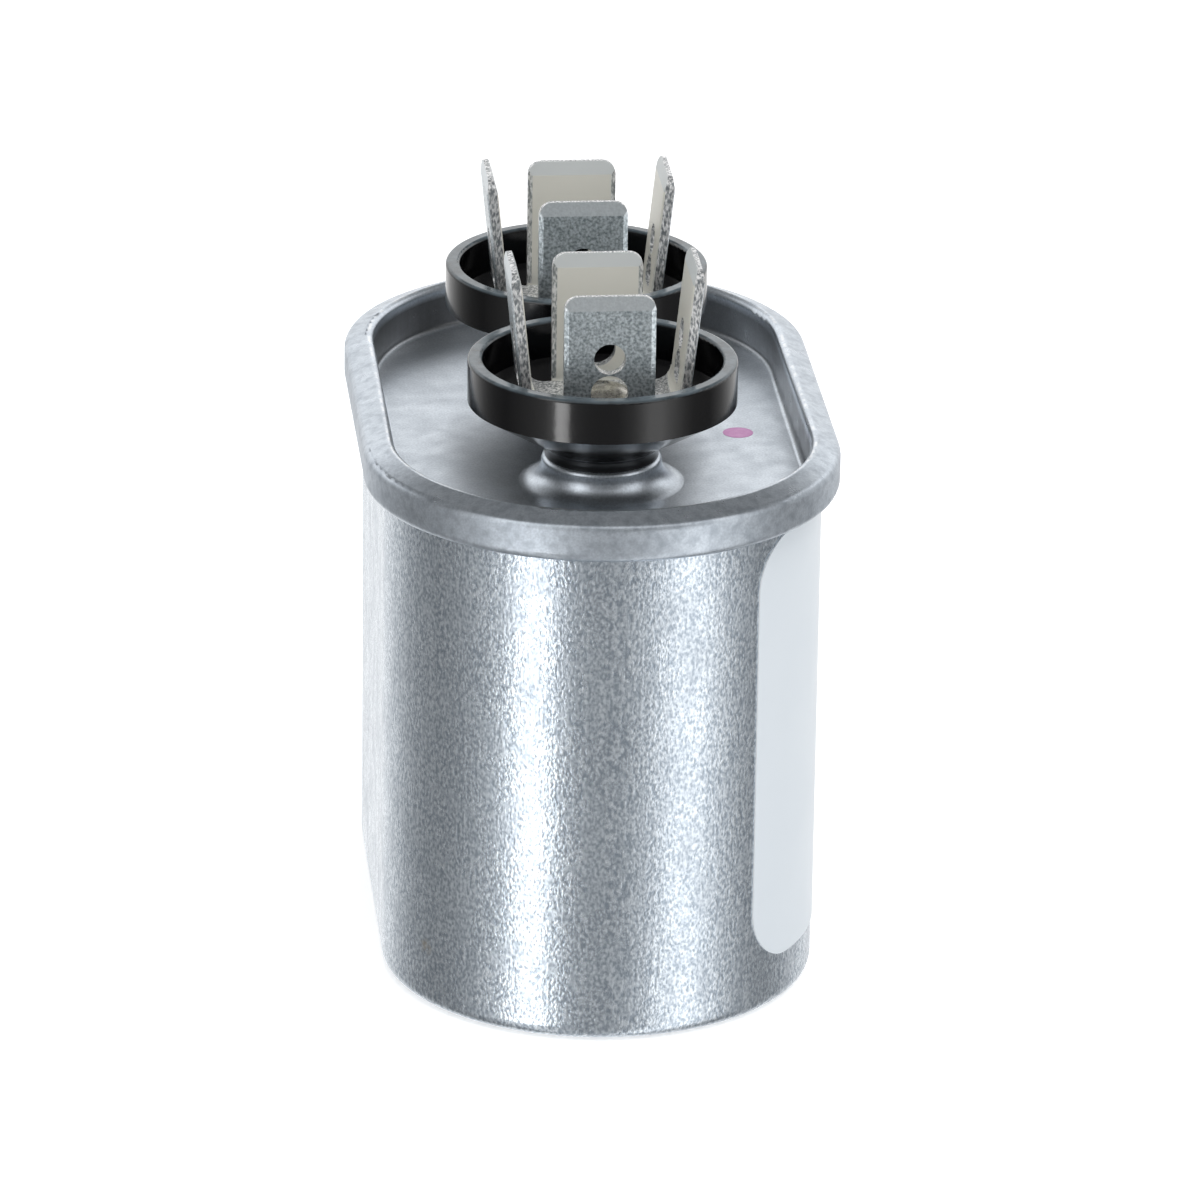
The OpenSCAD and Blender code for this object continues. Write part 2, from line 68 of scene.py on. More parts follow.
def linear(code):
    """An sRGB hex colour as linear red, green, blue and an alpha of 1."""
    channels = [int(code[i : i + 2], 16) / 255 for i in (1, 3, 5)]
    return tuple(
        c / 12.92 if c <= 0.04045 else ((c + 0.055) / 1.055) ** 2.4 for c in channels
    ) + (1.0,)


def size(name, about, default, low, high):
    """A length that a user may change."""
    return bpy.props.FloatProperty(
        name=name,
        description=about,
        default=default,
        min=low,
        max=high,
        precision=5,
        subtype="DISTANCE",
        unit="LENGTH",
    )


def colour(name, about, code):
    """A colour that a user may change, given as sRGB hex."""
    return bpy.props.FloatVectorProperty(
        name=name,
        description=about,
        default=linear(code),
        min=0,
        max=1,
        size=4,
        subtype="COLOR",
    )


def angle(name, about, degrees):
    """An angle that a user may change."""
    return bpy.props.FloatProperty(
        name=name,
        description=about,
        default=math.radians(degrees),
        subtype="ANGLE",
        unit="ROTATION",
    )


class CapacitorMetal(bpy.types.PropertyGroup):
    """Finish of the can, the cover and the terminals' metal."""

    can: colour("Can", "Colour of the drawn aluminium can", "#F0F8FF")
    cover: colour("Cover", "Colour of the pressed aluminium cover", "#E8F0F8")
    blade: colour("Blade", "Colour of the tin plating outside a blade", "#D6DFE3")
    blade_inside: colour("Blade inside", "Colour of the tin plating inside a blade", "#F0EFE7")
    rivet: colour("Rivet", "Colour of the nickel-plated rivets", "#D6D3CA")
    grain: size("Grain", "Width of the can's stretched grain", 0.2 * MM, 0.05 * MM, 2 * MM)
    grain_depth: size("Grain depth", "Depth of the can's grain", 0.03 * MM, 0, 0.2 * MM)
    sheet_t: size("Cover sheet", "Thickness of the cover's sheet", 0.35 * MM, 0.2 * MM, 0.6 * MM)


class CapacitorTrim(bpy.types.PropertyGroup):
    """Finish of the plastic, the label and the ink."""

    cup: colour("Cup", "Colour of the moulded terminal cups", "#0B0B0D")
    label: colour("Label", "Colour of the bare label", "#EAF1F7")
    label_edge: colour("Label edge", "Colour of the label's cut edge", "#F3F7FA")
    ink: colour("Ink", "Colour of the inspector's ink dot", "#D79BCC")
    ink_r: size("Ink dot", "Radius of the ink dot", 1.08 * MM, 0.3 * MM, 2 * MM)
    ink_t: size("Ink film", "Thickness of the ink film", 0.012 * MM, 0.002 * MM, 0.05 * MM)
    ink_x: size("Ink across", "Place of the ink dot to the right", 10.6 * MM, -12 * MM, 12 * MM)
    ink_y: size("Ink back", "Place of the ink dot to the rear", -1.27 * MM, -2 * MM, 2 * MM)


class CapacitorStudio(bpy.types.PropertyGroup):
    """Floor, lamps and camera."""

    floor: colour("Floor", "Colour of the floor", "#F4F5F6")
    backdrop: colour("Backdrop", "Colour behind the object", "#FFFFFF")
    key: bpy.props.FloatProperty(
        name="Key lamp",
        description="Power of the large lamp above",
        default=1.5,
        min=0,
        max=50,
        subtype="POWER",
        unit="POWER",
    )
    room: bpy.props.FloatProperty(
        name="Room light",
        description="Strength of the light from all round",
        default=0.72,
        min=0,
        max=4,
    )
    distance: size("Camera distance", "From the camera to its aim", 0.58105, 0.1, 5)
    azimuth: angle("Azimuth", "Turn of the camera round the object", -5.5)
    elevation: angle("Elevation", "Height of the camera as an angle", 20.99)
    roll: angle("Roll", "Turn of the camera about its own axis", 0.78)
    aim: bpy.props.FloatVectorProperty(
        name="Aim",
        description="Point that the camera looks at",
        default=(1.03 * MM, 0, 22.98 * MM),
        subtype="TRANSLATION",
        unit="LENGTH",
    )
    lens: bpy.props.FloatProperty(
        name="Lens",
        description="Focal length in millimetres on a 36 mm sensor",
        default=243.04,
        min=10,
        max=1000,
    )


# Nodes and patterns --------------------------------------------------------------------------


def add_node(tree, kind, inputs=(), stops=(), **settings):
    """Adds a node with its settings, links or sets its inputs in order or by name, fills a ramp's
    stops, and gives the node's outputs."""
    made = tree.nodes.new(kind)
    for name, value in settings.items():
        setattr(made, name, value)
    for name, value in inputs.items() if isinstance(inputs, dict) else enumerate(inputs):
        socket = made.inputs[name]
        if isinstance(value, bpy.types.NodeSocket):
            tree.links.new(value, socket)
        else:
            socket.default_value = value
    for i, (place, shade) in enumerate(stops):
        elements = made.color_ramp.elements
        stop = elements[i] if i < 2 else elements.new(place)
        stop.position = place
        stop.color = (shade, shade, shade, 1)
    return made.outputs


def new_material(name):
    """An empty node material, its tree and the place that its patterns are measured from."""
    made = bpy.data.materials.new(name)
    made.use_nodes = True
    made.node_tree.nodes.clear()
    place = add_node(made.node_tree, "ShaderNodeTexCoord")["Object"]
    return made, made.node_tree, place


def finish_surface(tree, **inputs):
    """Ends a material in a Principled shader; an underscore in a name stands for a space."""
    named = {name.replace("_", " "): value for name, value in inputs.items()}
    shader = add_node(tree, "ShaderNodeBsdfPrincipled", named)[0]
    add_node(tree, "ShaderNodeOutputMaterial", {"Surface": shader})


def overlap(tree, *masks):
    """Where all of these masks meet: their product."""
    met, *others = masks
    for mask in others:
        met = add_node(tree, "ShaderNodeMath", (met, mask), operation="MULTIPLY")[0]
    return met


def between(tree, value, start, full, until, end):
    """A mask that rises from start to full, and falls again from until to end."""
    return overlap(
        tree,
        add_node(tree, "ShaderNodeMapRange", (value, start, full))[0],
        add_node(tree, "ShaderNodeMapRange", (value, end, until))[0],
    )


def layered(tree, shade, *coats):
    """Coats of colour over a first one, each with the mask that it shows by."""
    for mask, coat in coats:
        inputs = {0: mask, 6: shade, 7: coat}
        shade = add_node(tree, "ShaderNodeMix", inputs, data_type="RGBA")[2]
    return shade


def grainy(tree, place, width, detail=2.0, stretch=1):
    """Soft grain about as wide as the given length, stretched upwards."""
    squeezed = add_node(
        tree, "ShaderNodeMapping", {"Vector": place, "Scale": (1, 1, 1 / stretch)}
    )[0]
    return add_node(
        tree, "ShaderNodeTexNoise", {"Vector": squeezed, "Scale": 1 / width, "Detail": detail}
    )[0]


def embossed(tree, *reliefs):
    """A normal with one relief on top of another, each a height and its depth."""
    inputs = {}
    for height, depth in reliefs:
        inputs |= {"Height": height, "Distance": depth}
        inputs["Normal"] = add_node(tree, "ShaderNodeBump", inputs)[0]
    return inputs["Normal"]


def dots(tree, place, spacing, radius, share):
    """Round dots of a radius, one for each cell of the spacing, in only a share of the cells."""
    cell = add_node(tree, "ShaderNodeTexVoronoi", {"Vector": place, "Scale": 1 / spacing})
    chance = add_node(tree, "ShaderNodeSeparateXYZ", (cell["Color"],))["X"]
    reach = radius / spacing
    return overlap(
        tree,
        add_node(tree, "ShaderNodeMath", (chance, share), operation="LESS_THAN")[0],
        add_node(tree, "ShaderNodeMapRange", (cell["Distance"], 1.3 * reach, 0.7 * reach))[0],
    )


def oval_place(tree, place):
    """How far a point lies from the oval's middle line, the way straight out from that line, and
    the point's height."""
    axes = add_node(tree, "ShaderNodeSeparateXYZ", (place,))
    middle = add_node(tree, "ShaderNodeClamp", (axes["Y"], -END_Y, END_Y))[0]
    beyond = add_node(tree, "ShaderNodeMath", (axes["Y"], middle), operation="SUBTRACT")[0]
    out = add_node(tree, "ShaderNodeCombineXYZ", (axes["X"], beyond))[0]
    reach = add_node(tree, "ShaderNodeVectorMath", (out,), operation="LENGTH")["Value"]
    way = add_node(tree, "ShaderNodeVectorMath", (out,), operation="NORMALIZE")[0]
    return reach, way, axes["Z"]


def facing(tree, way):
    """How far the surface faces along a direction: 1 straight along it, -1 straight back."""
    normal = add_node(tree, "ShaderNodeTexCoord")["Normal"]
    return add_node(tree, "ShaderNodeVectorMath", (way, normal), operation="DOT_PRODUCT")["Value"]


def dress(material, *names):
    """Gives each of these CAD nodes the material."""
    for name in names:
        for held in NODES[name].material_slots:
            held.material = material


# Finishes ------------------------------------------------------------------------------------


def drawn_aluminium(metal):
    """Deep-drawn aluminium: the draw roughens the sheet into short upright flecks that glitter,
    with faint broad ripples, fine draw lines, a few dark handling marks and one pale stain. The
    flecks are drawn coarser than they are, so that they show."""
    made, tree, place = new_material("drawn_aluminium")
    grain = grainy(tree, place, metal.grain, 2.0, 1.5)
    patches = grainy(tree, place, 2.2 * MM, 3.0, 1.6)
    lines = grainy(tree, place, 0.35 * MM, 1.0, 40)
    ripple = grainy(tree, place, 8 * MM, 1.0)
    marks = dots(tree, place, 2.6 * MM, 0.11 * MM, 0.10)
    blotches = grainy(tree, place, 0.5 * MM)
    stain_place, stain_r = (-12.75 * MM, -19.2 * MM, 4.6 * MM), 0.75 * MM
    gap = add_node(
        tree, "ShaderNodeVectorMath", (place, stain_place), operation="DISTANCE"
    )["Value"]
    stain = overlap(
        tree,
        add_node(tree, "ShaderNodeMapRange", (gap, stain_r, 0.4 * stain_r))[0],
        add_node(tree, "ShaderNodeMapRange", (blotches, 0.35, 0.6, 0.0, 0.6))[0],
    )
    shade = layered(
        tree,
        linear("#A4B0BC"),
        (add_node(tree, "ShaderNodeMapRange", (grain, 0.35, 0.65))[0], tuple(metal.can)),
        (add_node(tree, "ShaderNodeMapRange", (lines, 0.4, 0.6, 0.0, 0.16))[0], linear("#9AA6B2")),
        (
            add_node(tree, "ShaderNodeMapRange", (patches, 0.3, 0.7, 0.0, 0.22))[0],
            linear("#A9B0B9"),
        ),
        (overlap(tree, marks, 0.75), linear("#4E5052")),
        (stain, linear("#B9AD98")),
    )
    finish_surface(
        tree,
        Base_Color=shade,
        Metallic=0.8,
        Roughness=add_node(tree, "ShaderNodeMapRange", (patches, 0.3, 0.7, 0.22, 0.32))[0],
        Normal=embossed(
            tree, (ripple, 0.05 * MM), (lines, 0.008 * MM), (grain, metal.grain_depth)
        ),
    )
    return made


def pressed_aluminium(metal):
    """Pressed aluminium sheet: satin, with a fine cloudy grain and dark specks on the panel. The
    chuck wall is darkened brown-grey with painted shade, deeper down its groove and heavier on
    the left side; the seam is scuffed by the rollers, and its inner shoulder is worn bright in
    places."""
    made, tree, place = new_material("pressed_aluminium")
    reach, way, height = oval_place(tree, place)
    cloud = grainy(tree, place, 1.6 * MM, 4.0)
    grain = grainy(tree, place, 0.16 * MM)
    scuffs = grainy(tree, place, 0.7 * MM, 6.0)
    wear = grainy(tree, place, 0.9 * MM, 4.0)
    sideways = add_node(tree, "ShaderNodeSeparateXYZ", (way,))["X"]
    on_panel = add_node(tree, "ShaderNodeMapRange", (reach, PANEL_R, PANEL_R - 0.3 * MM))[0]
    # Painted shade on the chuck wall: darker down its groove, and heavier on the left than on the
    # right.
    wall = overlap(
        tree,
        between(
            tree,
            reach,
            PANEL_R + 0.25 * MM,
            PANEL_R + 0.5 * MM,
            PANEL_R + 0.58 * MM,
            PANEL_R + 0.66 * MM,
        ),
        add_node(
            tree,
            "ShaderNodeMapRange",
            (height, SEAM_HIGH.z - 0.5 * MM, SEAM_HIGH.z - 1.0 * MM),
        )[0],
        add_node(tree, "ShaderNodeMapRange", (sideways, -1.0, 1.0, 0.92, 0.7))[0],
    )
    shoulder = between(
        tree,
        reach,
        SHOULDER_R,
        SHOULDER_R + 0.1 * MM,
        SHOULDER_R + 0.2 * MM,
        SHOULDER_R + 0.3 * MM,
    )
    on_seam = add_node(
        tree, "ShaderNodeMapRange", (reach, SHOULDER_R + 0.2 * MM, SHOULDER_R + 0.4 * MM)
    )[0]
    outside = add_node(
        tree, "ShaderNodeMapRange", (reach, SEAM_HIGH.x - 0.12 * MM, SEAM_HIGH.x - 0.02 * MM)
    )[0]
    shade = layered(
        tree,
        tuple(metal.cover),
        (add_node(tree, "ShaderNodeMapRange", (cloud, 0.3, 0.7, 0.0, 0.3))[0], linear("#A7B1BC")),
        (add_node(tree, "ShaderNodeMapRange", (grain, 0.3, 0.7, 0.0, 0.3))[0], linear("#808893")),
        (
            overlap(tree, dots(tree, place, 1.6 * MM, 0.10 * MM, 0.09), on_panel, 0.7),
            linear("#43464C"),
        ),
        (wall, linear("#5C5957")),
        (
            overlap(
                tree,
                add_node(tree, "ShaderNodeMapRange", (scuffs, 0.45, 0.75, 0.25, 0.8))[0],
                on_seam,
            ),
            linear("#A0A9B3"),
        ),
        (
            overlap(
                tree, shoulder, add_node(tree, "ShaderNodeMapRange", (wear, 0.46, 0.6))[0]
            ),
            linear("#F4F7FA"),
        ),
    )
    duller = add_node(
        tree,
        "ShaderNodeMath",
        (overlap(tree, on_panel, 0.04), overlap(tree, outside, 0.14)),
        operation="MAXIMUM",
    )[0]
    rough = add_node(
        tree,
        "ShaderNodeMath",
        (add_node(tree, "ShaderNodeMapRange", (cloud, 0.3, 0.7, 0.27, 0.33))[0], duller),
        operation="ADD",
    )[0]
    finish_surface(
        tree,
        Base_Color=shade,
        Metallic=0.92,
        Roughness=rough,
        Normal=embossed(tree, (grain, 0.008 * MM)),
    )
    return made


def tin_plating(metal, name, tip_z):
    """Tin-plated brass strip, blanked and bent: mottled and greyer outside the bend, smooth and
    creamy inside it, burnished where the tip is coined, and torn bright along its sheared edges."""
    made, tree, place = new_material(name)
    axes = add_node(tree, "ShaderNodeSeparateXYZ", (place,))
    end = add_node(tree, "ShaderNodeMath", (axes["Y"],), operation="SIGN")[0]
    axis_y = overlap(tree, end, TERMINAL_Y)
    from_axis = add_node(tree, "ShaderNodeMath", (axes["Y"], axis_y), operation="SUBTRACT")[0]
    flat = add_node(tree, "ShaderNodeCombineXYZ", (axes["X"], from_axis))[0]
    out = facing(tree, add_node(tree, "ShaderNodeVectorMath", (flat,), operation="NORMALIZE")[0])
    inside = add_node(tree, "ShaderNodeMapRange", (out, -0.6, -0.7))[0]
    outside = add_node(tree, "ShaderNodeMapRange", (out, 0.62, 0.72))[0]
    faces = add_node(tree, "ShaderNodeMath", (inside, outside), operation="MAXIMUM")[0]
    edge = add_node(tree, "ShaderNodeMath", (1.0, faces), operation="SUBTRACT")[0]
    not_inside = add_node(tree, "ShaderNodeMath", (1.0, inside), operation="SUBTRACT")[0]
    coined = add_node(
        tree, "ShaderNodeMapRange", (axes["Z"], tip_z - 1.02 * MM, tip_z - 0.96 * MM)
    )[0]
    mottle = grainy(tree, place, 0.2 * MM, 4.0)
    tears = grainy(tree, place, 0.16 * MM, 3.0, 2.5)
    torn = layered(
        tree,
        linear("#8C9194"),
        (add_node(tree, "ShaderNodeMapRange", (tears, 0.4, 0.6))[0], linear("#FFFFFF")),
    )
    shade = layered(
        tree,
        linear("#8C969B"),
        (add_node(tree, "ShaderNodeMapRange", (mottle, 0.35, 0.65))[0], tuple(metal.blade)),
        (inside, tuple(metal.blade_inside)),
        (overlap(tree, coined, 0.8), linear("#D3D9DC")),
        (edge, torn),
    )
    finish_surface(
        tree,
        Base_Color=shade,
        Metallic=add_node(tree, "ShaderNodeMapRange", (inside, 0.0, 1.0, 0.6, 0.25))[0],
        Roughness=add_node(tree, "ShaderNodeMapRange", (inside, 0.0, 1.0, 0.3, 0.42))[0],
        Normal=embossed(
            tree,
            (overlap(tree, mottle, not_inside), 0.03 * MM),
            (overlap(tree, tears, edge), 0.05 * MM),
        ),
    )
    return made


def nickel_plating(metal):
    """Nickel-plated steel, clinched by a rolling tool: bright, with faint worked marks."""
    made, tree, place = new_material("nickel_plated_steel")
    grain = grainy(tree, place, 0.3 * MM, 3.0)
    shade = layered(
        tree,
        linear("#A8A59D"),
        (add_node(tree, "ShaderNodeMapRange", (grain, 0.35, 0.65))[0], tuple(metal.rivet)),
    )
    finish_surface(
        tree,
        Base_Color=shade,
        Metallic=1.0,
        Roughness=add_node(tree, "ShaderNodeMapRange", (grain, 0.3, 0.7, 0.22, 0.34))[0],
        Normal=embossed(tree, (grain, 0.012 * MM)),
    )
    return made


def moulded_polyester(trim):
    """Glass-filled polyester, injection moulded: deep black and glossy, with faint flow marks, and
    a painted reflection that lightens the top of the lip to grey in patches."""
    made, tree, place = new_material("glass_filled_polyester")
    cloud = grainy(tree, place, 1.8 * MM, 4.0)
    fibre = grainy(tree, place, 0.2 * MM)
    # This noise only breaks the lip's painted reflection into patches.
    handling = grainy(tree, place, 1.2 * MM, 5.0)
    height = add_node(tree, "ShaderNodeSeparateXYZ", (place,))["Z"]
    # Painted reflection: the top of the lip is lightened to grey.
    lip_reflection = overlap(
        tree,
        add_node(
            tree, "ShaderNodeMapRange", (height, CUP_HIGH.z - 0.2 * MM, CUP_HIGH.z - 0.02 * MM)
        )[0],
        add_node(tree, "ShaderNodeMapRange", (handling, 0.3, 0.7, 0.25, 0.75))[0],
    )
    finish_surface(
        tree,
        Base_Color=layered(tree, tuple(trim.cup), (lip_reflection, linear("#6F7C84"))),
        Metallic=0.0,
        IOR=1.5,
        Roughness=add_node(tree, "ShaderNodeMapRange", (cloud, 0.3, 0.7, 0.1, 0.16))[0],
        Normal=embossed(tree, (cloud, 0.012 * MM), (fibre, 0.0006 * MM)),
    )
    return made


def polyester_label(trim):
    """White polyester film with a clear overlay: cool white and nearly flat, with a soft gloss and
    a paler cut edge."""
    made, tree, place = new_material("polyester_label_film")
    _, way, _ = oval_place(tree, place)
    cloud = grainy(tree, place, 6 * MM, 3.0)
    cut = add_node(tree, "ShaderNodeMapRange", (facing(tree, way), 0.8, 0.5))[0]
    shade = layered(
        tree,
        tuple(trim.label),
        (add_node(tree, "ShaderNodeMapRange", (cloud, 0.3, 0.7, 0.0, 0.3))[0], linear("#E2EAF1")),
        (cut, tuple(trim.label_edge)),
    )
    finish_surface(
        tree,
        Base_Color=shade,
        Metallic=0.0,
        Roughness=add_node(tree, "ShaderNodeMapRange", (cloud, 0.3, 0.7, 0.32, 0.4))[0],
        Normal=embossed(tree, (grainy(tree, place, 2.5 * MM), 0.006 * MM)),
    )
    return made


def marker_ink(trim):
    """Thin spirit ink on metal: half clear at the middle, with a darker dried rim."""
    made, tree, place = new_material("marker_ink")
    centre = Vector((trim.ink_x, trim.ink_y, COVER_LOW.z))
    gap = add_node(tree, "ShaderNodeVectorMath", (place, centre), operation="DISTANCE")["Value"]
    grain = grainy(tree, place, 0.4 * MM)
    rim = add_node(tree, "ShaderNodeMapRange", (gap, 0.8 * trim.ink_r, trim.ink_r, 0.0, 0.5))[0]
    cloud = add_node(tree, "ShaderNodeMapRange", (grain, 0.3, 0.7, 0.0, 0.3))[0]
    darker = add_node(tree, "ShaderNodeMath", (rim, cloud), operation="MAXIMUM")[0]
    finish_surface(
        tree,
        Base_Color=layered(tree, tuple(trim.ink), (darker, linear("#BC7AB2"))),
        Metallic=0.25,
        Roughness=add_node(tree, "ShaderNodeMapRange", (cloud, 0.0, 0.3, 0.35, 0.5))[0],
    )
    return made


# Pieces inside the can, which the cover hides: what each is, its colour, its metal share, its
# roughness, the width of its grain, how far that is stretched upwards, and the nodes
INNER_FINISHES = (
    ("latex_sealing_compound", "#3A3C3E", 0.0, 0.6, 0.3, 1, ("seam_compound",)),
    ("epdm_rubber", "#1D1D1F", 0.0, 0.7, 0.2, 1, ("front_gasket", "rear_gasket")),
    ("phenolic_laminate", "#7A4A26", 0.0, 0.5, 0.5, 1,
     ("front_washer", "rear_washer", "interrupter_plate")),
    ("tinned_copper_strip", "#C98E63", 1.0, 0.35, 0.4, 1, ("front_lead", "rear_lead")),
    ("polypropylene_sleeve", "#E4DFCF", 0.0, 0.4, 1.2, 8, ("insulating_sleeve",)),
    ("metallised_film_winding", "#D9D7CE", 0.3, 0.35, 0.1, 60, ("film_winding",)),
    ("moulded_core", "#CFC7A8", 0.0, 0.45, 0.8, 1, ("winding_core",)),
    ("sprayed_zinc", "#8E9296", 1.0, 0.65, 0.15, 1, ("upper_end_spray", "lower_end_spray")),
    ("moulded_spacer", "#E2D8BE", 0.0, 0.45, 0.8, 1, ("bottom_spacer",)),
)
# How much darker than its colour an inner piece gets in the hollows of its grain
HOLLOW_SHADE = 0.6


def inner_finish(name, code, metallic, roughness, grain_mm, stretch):
    """One finish from the table of inner pieces: its own colour, clouded by its own grain."""
    made, tree, place = new_material(name)
    grain = grainy(tree, place, grain_mm * MM, 3.0, stretch)
    shade = linear(code)
    darker = tuple(HOLLOW_SHADE * c for c in shade[:3]) + (1.0,)
    raised = add_node(tree, "ShaderNodeMapRange", (grain, 0.35, 0.65))[0]
    finish_surface(
        tree,
        Base_Color=layered(tree, darker, (raised, shade)),
        Metallic=metallic,
        Roughness=roughness,
        Normal=embossed(tree, (grain, 0.02 * MM)),
    )
    return made


# Pieces --------------------------------------------------------------------------------------


def add_piece(name, shape, material):
    """A new object from a bmesh, with its place in its mesh."""
    mesh = bpy.data.meshes.new(name)
    shape.to_mesh(mesh)
    shape.free()
    mesh.materials.append(material)
    piece = bpy.data.objects.new(name, mesh)
    bpy.context.scene.collection.objects.link(piece)
    return piece


def ink_dot_shape(trim, panel_z):
    """A thin round film on the panel, with its upper edge rounded off."""
    shape = bmesh.new()
    bmesh.ops.create_circle(shape, cap_ends=True, segments=64, radius=trim.ink_r)
    raised = bmesh.ops.extrude_face_region(shape, geom=shape.faces[:])["geom"]
    top = [v for v in raised if isinstance(v, bmesh.types.BMVert)]
    bmesh.ops.translate(shape, verts=top, vec=(0, 0, trim.ink_t))
    rim = [e for e in shape.edges if all(v in top for v in e.verts)]
    bmesh.ops.bevel(
        shape,
        geom=rim,
        offset=0.6 * trim.ink_t,
        affect="EDGES",
        segments=3,
        profile=0.5,
        material=-1,
    )
    bmesh.ops.translate(shape, verts=shape.verts[:], vec=(trim.ink_x, trim.ink_y, panel_z))
    bmesh.ops.recalc_face_normals(shape, faces=shape.faces[:])
    return shape


class CAPACITOR_OT_can(bpy.types.Operator):
    """Finish the drawn can"""

    bl_idname = "capacitor.can"
    bl_label = "Finish the can"

    def execute(self, context):
        dress(drawn_aluminium(context.scene.capacitor_metal), "can")
        return {"FINISHED"}


class CAPACITOR_OT_cover(bpy.types.Operator):
    """Finish the pressed cover and its double seam"""

    bl_idname = "capacitor.cover"
    bl_label = "Finish the cover"

    def execute(self, context):
        dress(pressed_aluminium(context.scene.capacitor_metal), "cover")
        return {"FINISHED"}


class CAPACITOR_OT_terminals(bpy.types.Operator):
    """Finish the cups, the blades and the rivets of both terminals"""

    bl_idname = "capacitor.terminals"
    bl_label = "Finish the terminals"

    def execute(self, context):
        metal = context.scene.capacitor_metal
        dress(moulded_polyester(context.scene.capacitor_trim), "front_cup", "rear_cup")
        dress(nickel_plating(metal), "front_rivet", "rear_rivet")
        for strap in ("lower_strap", "upper_strap"):
            tip_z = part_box("front_" + strap)[1].z
            finish = tin_plating(metal, "tin_plated_brass_" + strap, tip_z)
            dress(finish, "front_" + strap, "rear_" + strap)
        return {"FINISHED"}


class CAPACITOR_OT_label(bpy.types.Operator):
    """Finish the bare label"""

    bl_idname = "capacitor.label"
    bl_label = "Finish the label"

    def execute(self, context):
        dress(polyester_label(context.scene.capacitor_trim), "label")
        return {"FINISHED"}


class CAPACITOR_OT_inside(bpy.types.Operator):
    """Finish the pieces that the cover and the can hide"""

    bl_idname = "capacitor.inside"
    bl_label = "Finish the inside"

    def execute(self, context):
        for *finish, names in INNER_FINISHES:
            dress(inner_finish(*finish), *names)
        return {"FINISHED"}


class CAPACITOR_OT_ink_dot(bpy.types.Operator):
    """Add the inspector's ink dot on the cover's panel"""

    bl_idname = "capacitor.ink_dot"
    bl_label = "Add the ink dot"

    def execute(self, context):
        trim = context.scene.capacitor_trim
        panel_z = COVER_LOW.z + context.scene.capacitor_metal.sheet_t
        dot = add_piece("ink_dot", ink_dot_shape(trim, panel_z), marker_ink(trim))
        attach(dot, "root")
        return {"FINISHED"}


class CAPACITOR_OT_stage(bpy.types.Operator):
    """Set the floor, the lamps, the room and the camera"""

    bl_idname = "capacitor.stage"
    bl_label = "Set the stage"

    def execute(self, context):
        studio = context.scene.capacitor_studio
        floor_shape = bmesh.new()
        bmesh.ops.create_grid(floor_shape, x_segments=1, y_segments=1, size=FLOOR_HALF)
        floor = add_piece("studio_floor", floor_shape, matt_floor(studio))
        floor.visible_glossy = False
        studio_room(context.scene, studio)
        add_lamp("key_lamp", KEY_PLACE, KEY_WIDTH, studio.key)
        add_camera(context.scene, studio)
        context.scene.view_settings.view_transform = "Standard"
        return {"FINISHED"}


# Stage ---------------------------------------------------------------------------------------

FLOOR_HALF = 6
# Strength of the floor's own white, for the camera only
FLOOR_GLOW = 0.5
KEY_PLACE = (0.12, -0.1, 0.6)
KEY_WIDTH = 0.5


def matt_floor(studio):
    """Matt white paper: it keeps the object's shadow, and its own white shows to the camera."""
    made, tree, _ = new_material("matt_white_paper")
    seen = add_node(tree, "ShaderNodeLightPath")["Is Camera Ray"]
    glow = overlap(tree, seen, FLOOR_GLOW)
    paper = add_node(tree, "ShaderNodeBsdfDiffuse", {"Color": tuple(studio.floor)})[0]
    white = add_node(
        tree, "ShaderNodeEmission", {"Color": tuple(studio.backdrop), "Strength": glow}
    )[0]
    both = add_node(tree, "ShaderNodeAddShader", (paper, white))[0]
    add_node(tree, "ShaderNodeOutputMaterial", {"Surface": both})
    return made


# What shiny surfaces reflect level with them and below, in degrees round from the camera to the
# right: dark about the camera, a softbox on each side of it, and the white backdrop
LOW_ROUND = (
    (-180, 1.25), (-160, 1.20), (-140, 0.85), (-128, 0.55), (-118, 0.32), (-105, 0.19),
    (-90, 0.13), (-76, 0.26), (-62, 0.42), (-50, 0.64), (-43, 1.10), (-34, 1.10),
    (-27, 0.68), (-20, 0.44), (-10, 0.31), (0, 0.28), (14, 0.30), (26, 0.56), (34, 1.10),
    (41, 1.85), (52, 1.85), (58, 1.35), (66, 0.92), (74, 0.52), (84, 0.25), (104, 0.16),
    (120, 0.40), (140, 0.85), (180, 1.25),
)
# What they reflect above them
HIGH_ROUND = (
    (-180, 1.35), (-130, 1.25), (-112, 0.80), (-100, 0.15), (-64, 0.12), (-58, 0.25),
    (-53, 1.80), (-32, 1.80), (-27, 0.30), (-12, 0.20), (0, 0.20), (20, 0.20),
    (44, 0.25), (52, 1.30), (74, 1.30), (80, 0.20), (100, 0.15),
    (112, 0.80), (130, 1.25), (180, 1.35),
)
# How these fade upwards, by the sine of the height: the softboxes in front and the backdrop
FRONT_RISE = ((0.0, 1.0), (0.72, 1.0), (0.84, 0.0), (1.0, 0.0))
BACK_RISE = ((0.0, 0.60), (0.20, 0.75), (0.30, 1.0), (0.44, 1.0), (0.56, 0.15), (0.62, 0.0))
CEILING = 0.16
# Softbox over the front of the object: its light, and its edges as how far forward and aside of the
# object each lies for its height
OVERHEAD_LIGHT = 0.75
OVERHEAD_FORWARD = (0.30, 0.45, 1.0, 1.2)
OVERHEAD_ASIDE = (1.7, 1.2)
OVERHEAD_UP = (0.3, 0.4)
# The tables above are shares of this light
RING_TOP = 3.0
# Window of the left softbox, which shows in the cups: its middle, and how far off that it fades
WINDOW_TURN = math.radians(-34)
WINDOW_Z = math.sin(math.radians(-21))
WINDOW_BESIDE = (0.12, 0.09)
WINDOW_ABOVE = (0.1, 0.07)
WINDOW_LIGHT = 16.0


def grey(value):
    """A plain grey of the ring's light."""
    return (value / RING_TOP,) * 3 + (1.0,)


